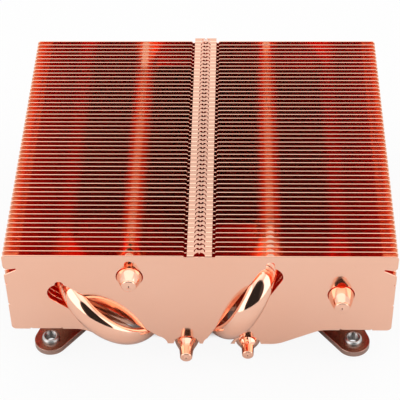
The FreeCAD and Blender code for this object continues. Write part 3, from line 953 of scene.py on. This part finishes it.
def standoff_surface(x, y):
    """A closed profile spun round, with a thread in the bore that climbs one pitch a turn.

    In the bore r = bore + depth * (1 - |saw(z / pitch - turn / 2 pi)|), with the saw from -1 to 1."""
    bottom, top, side = bracket_bottom, standoff_top, standoff_radius
    outside = np.array([[low_mouth, bottom], [1.9, bottom], [side - 0.1, bottom], [side, bottom + 0.1],
                        [side, top - chamfer - 0.08], [side - 0.04, top - chamfer],
                        [side - chamfer + 0.04, top - 0.03], [side - chamfer - 0.05, top],
                        [top_mouth, top]])
    bore_z = np.linspace(top - thread_margin, bottom + thread_margin, thread_rings)
    turn = np.linspace(0, 2 * np.pi, standoff_points, endpoint=False)
    saw = 2 * ((bore_z[:, None] / thread_pitch - turn[None] / (2 * np.pi)) % 1) - 1
    bore_r = bore_radius + thread_depth * (1 - np.abs(saw))
    radius = np.concatenate([np.tile(outside[:, :1], (1, standoff_points)), bore_r])
    height = np.tile(np.concatenate([outside[:, 1:], bore_z[:, None]]), (1, standoff_points))
    points = np.stack([x + radius * np.cos(turn), y + radius * np.sin(turn), height], -1).reshape(-1, 3)
    quads = wrapped_grid_faces(len(radius), standoff_points, close_rows=True)
    return points, outward_faces(points, np.concatenate(split_quads(quads)))


for word_x, sx in (("left", -1), ("right", 1)):
    for word_y, sy in (("front", -1), ("back", 1)):
        points, faces = standoff_surface(sx * bolt_reach, sy * bolt_reach)
        add_piece(f"standoff_{word_y}_{word_x}", points, faces, standoff_steel,
                  ("mounting_brackets",))
print("standoffs", len(faces), "faces each")


# %% [markdown]
# ## The base plate
# The base plate's milled block is right as it stands in the frame, so only its finish changes.

# %% Base plate finish
plate_mesh = frame["nodes"]["base_plate"].data
plate_mesh.materials.clear()
plate_mesh.materials.append(base_copper)
print("base plate in", plate_mesh.materials[0].name)


# %% [markdown]
# ## Floor and light
# Polished copper shows what stands round it, so the light is the room itself: a pale dome with
# brighter soft panels overhead and to both sides, a dimmer patch of wall high at the back, and a dark
# oval round the camera, where a studio has no light. The floor is pale paper. The camera sees it
# nearly as bright as the backdrop, except under the stack, where it keeps its own shadow.

# %% Floor
floor_half = 3.0
white = (1.0, 1.0, 1.0, 1.0)
paper_tone = 0.72
floor_glow = 0.92           # how far the camera's rays see white instead of the paper
# how far from the middle, in metres, the stack's shade begins to lift and is gone
shade_ends = {"X": (0.017, 0.021), "Y": (0.031, 0.034)}

floor_mesh = bpy.data.meshes.new("floor")
floor_mesh.from_pydata([(-floor_half, -floor_half, 0), (floor_half, -floor_half, 0),
                        (floor_half, floor_half, 0), (-floor_half, floor_half, 0)], [], [(0, 1, 2, 3)])
floor = bpy.data.objects.new("floor", floor_mesh)
floor.location.z = -0.0002
bpy.context.scene.collection.objects.link(floor)

floor_paper, tree = empty_material("floor_paper")
paper = add_node(tree, "ShaderNodeBsdfDiffuse", Color=(paper_tone, paper_tone, paper_tone, 1.0))
glow = add_node(tree, "ShaderNodeEmission", Color=white, Strength=1.0)
path = tree.nodes.new("ShaderNodeLightPath")
place = tree.nodes.new("ShaderNodeTexCoord").outputs["Object"]
spot = add_node(tree, "ShaderNodeSeparateXYZ", Vector=place).outputs
open_floor = 0.0
for label, (near, far) in shade_ends.items():
    clear = soft_step(tree, math_node(tree, "ABSOLUTE", spot[label]), near, far)
    open_floor = math_node(tree, "MAXIMUM", clear, open_floor)
bright = math_node(tree, "MULTIPLY", open_floor, floor_glow)
seen = math_node(tree, "MULTIPLY", path.outputs["Is Camera Ray"], bright)
mix = add_node(tree, "ShaderNodeMixShader", i0=seen, i1=paper.outputs[0], i2=glow.outputs[0])
add_node(tree, "ShaderNodeOutputMaterial", Surface=mix.outputs[0])
floor_mesh.materials.append(floor_paper)
print("floor", 2 * floor_half, "m")


# %% Room
dome_strength = 0.98
panels = {                  # direction, half its width and its soft border in degrees, strength added
    "overhead": ((0, 0.05, 1), 36, 14, 0.6),
    "back wall": ((0, 0.643, 0.766), 7, 6, -0.46),
    "left": ((-0.76, -0.62, 0.28), 22, 8, 1.2),
    "right": ((0.80, -0.58, 0.25), 22, 8, 1.2),
}
# the dark oval: (degrees round / half width)^2 + (degrees up / half height)^2 < 1, from its middle
oval_round, oval_up, oval_half_width, oval_half_height = 5.0, 22.0, 40.0, 31.0
oval_outer, oval_inner, oval_darkness = 1.15, 0.85, 0.97

world = bpy.data.worlds.new("studio")
bpy.context.scene.world = world
world.use_nodes = True
tree = world.node_tree
tree.nodes.clear()
direction = add_node(tree, "ShaderNodeVectorMath", {"operation": "NORMALIZE"},
                     i0=tree.nodes.new("ShaderNodeTexCoord").outputs["Generated"]).outputs[0]


def panel(towards, reach, soft):
    """1 inside a round panel seen in that direction, 0 outside, with a soft border, in degrees."""
    axis = np.array(towards, float) / np.linalg.norm(towards)
    nearness = add_node(tree, "ShaderNodeVectorMath", {"operation": "DOT_PRODUCT"},
                        i0=direction, i1=tuple(axis)).outputs["Value"]
    return soft_step(tree, nearness, math.cos(math.radians(reach + soft)), math.cos(math.radians(reach)))


def squared_share(angle, middle, half):
    """((angle - middle) / half)^2, with the angle in radians and the others in degrees."""
    apart = math_node(tree, "SUBTRACT", math_node(tree, "DEGREES", angle), middle)
    share = math_node(tree, "DIVIDE", apart, half)
    return math_node(tree, "MULTIPLY", share, share)


strength = dome_strength
for towards, reach, soft, added in panels.values():
    strength = math_node(tree, "MULTIPLY_ADD", panel(towards, reach, soft), added, strength)

parts = add_node(tree, "ShaderNodeSeparateXYZ", Vector=direction).outputs
ahead = math_node(tree, "MULTIPLY", parts["Y"], -1.0)
round_share = squared_share(math_node(tree, "ARCTAN2", parts["X"], ahead), oval_round, oval_half_width)
up_share = squared_share(math_node(tree, "ARCSINE", parts["Z"]), oval_up, oval_half_height)
dark = soft_step(tree, math_node(tree, "ADD", round_share, up_share), oval_outer, oval_inner)
lit = math_node(tree, "SUBTRACT", 1.0, math_node(tree, "MULTIPLY", dark, oval_darkness))
strength = math_node(tree, "MULTIPLY", strength, lit)
room = add_node(tree, "ShaderNodeBackground", Color=white, Strength=strength)
backdrop = add_node(tree, "ShaderNodeBackground", Color=white, Strength=1.0)
camera_ray = tree.nodes.new("ShaderNodeLightPath").outputs["Is Camera Ray"]
mix = add_node(tree, "ShaderNodeMixShader", i0=camera_ray, i1=room.outputs[0], i2=backdrop.outputs[0])
add_node(tree, "ShaderNodeOutputWorld", Surface=mix.outputs[0])

bpy.context.scene.view_settings.view_transform = "Standard"
print("room with", len(panels), "panels and a dark oval")
